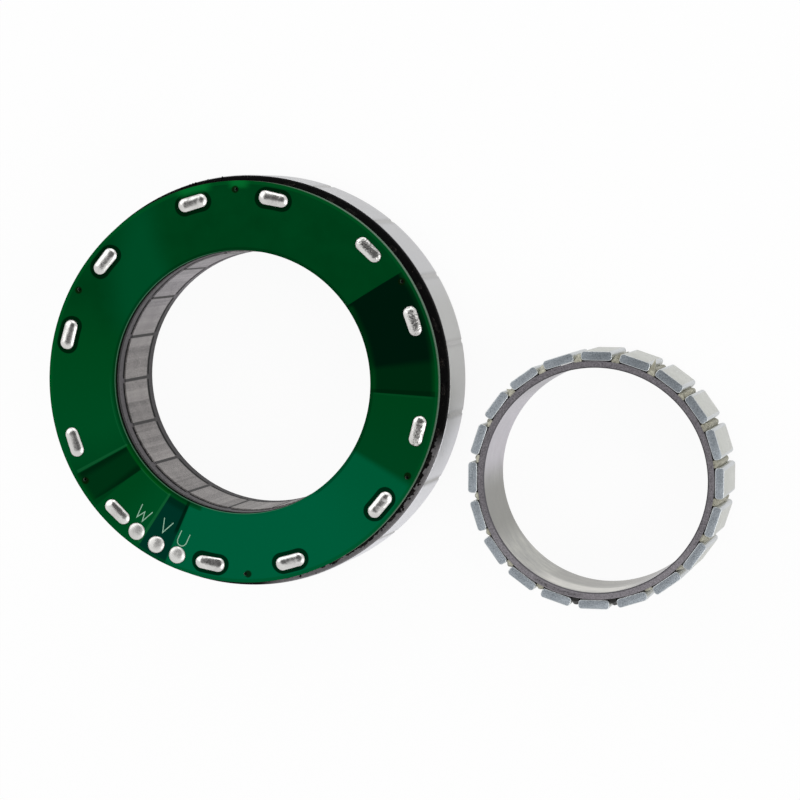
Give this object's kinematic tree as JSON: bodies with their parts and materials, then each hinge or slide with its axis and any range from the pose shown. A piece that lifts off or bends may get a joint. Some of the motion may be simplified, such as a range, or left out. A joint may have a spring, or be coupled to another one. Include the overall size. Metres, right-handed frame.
{
  "type": "frameless motor",
  "caption": "Frameless torque motor: a ring stator with potted coils and a connection board, and the magnet ring rotor that runs in its bore, standing beside it.",
  "frame": {"origin": "centre of the stator bore at the rear end face of the casting, where the stator rests", "axes": "+Z along the stator axis towards the connection board, +X through the middle of a slot, on the side where the rotor stands"},
  "size_m": [0.1561, 0.0983, 0.0293],
  "materials": {
    "lamination_steel": "welded stack of thin laminations, satin",
    "black_insulator": "moulded matt black",
    "enamelled_wire": "copper wire under varnish",
    "casting_resin": "cast, slightly porous",
    "board_laminate": "green solder mask over copper areas",
    "solder": "bright tinned solder",
    "ring_steel": "turned",
    "magnet_plating": "nickel plated, bright edges",
    "magnet_adhesive": "cured epoxy, cream"
  },
  "bodies": {
    "root": {"stator_core": "lamination_steel", "front_insulator": "black_insulator", "rear_insulator": "black_insulator", "coil_01": "enamelled_wire", "coil_02": "enamelled_wire", "coil_03": "enamelled_wire", "coil_04": "enamelled_wire", "coil_05": "enamelled_wire", "coil_06": "enamelled_wire", "coil_07": "enamelled_wire", "coil_08": "enamelled_wire", "coil_09": "enamelled_wire", "coil_10": "enamelled_wire", "coil_11": "enamelled_wire", "coil_12": "enamelled_wire", "coil_13": "enamelled_wire", "coil_14": "enamelled_wire", "coil_15": "enamelled_wire", "coil_16": "enamelled_wire", "coil_17": "enamelled_wire", "coil_18": "enamelled_wire", "casting_resin": "casting_resin", "circuit_board": "board_laminate", "coil_joints": "solder", "phase_pad_w": "solder", "phase_pad_v": "solder", "phase_pad_u": "solder", "rotor_ring": "ring_steel", "magnet_01": "magnet_plating", "magnet_02": "magnet_plating", "magnet_03": "magnet_plating", "magnet_04": "magnet_plating", "magnet_05": "magnet_plating", "magnet_06": "magnet_plating", "magnet_07": "magnet_plating", "magnet_08": "magnet_plating", "magnet_09": "magnet_plating", "magnet_10": "magnet_plating", "magnet_11": "magnet_plating", "magnet_12": "magnet_plating", "magnet_13": "magnet_plating", "magnet_14": "magnet_plating", "magnet_15": "magnet_plating", "magnet_16": "magnet_plating", "magnet_17": "magnet_plating", "magnet_18": "magnet_plating", "magnet_19": "magnet_plating", "magnet_20": "magnet_plating", "magnet_adhesive": "magnet_adhesive"}
  },
  "joints": []
}
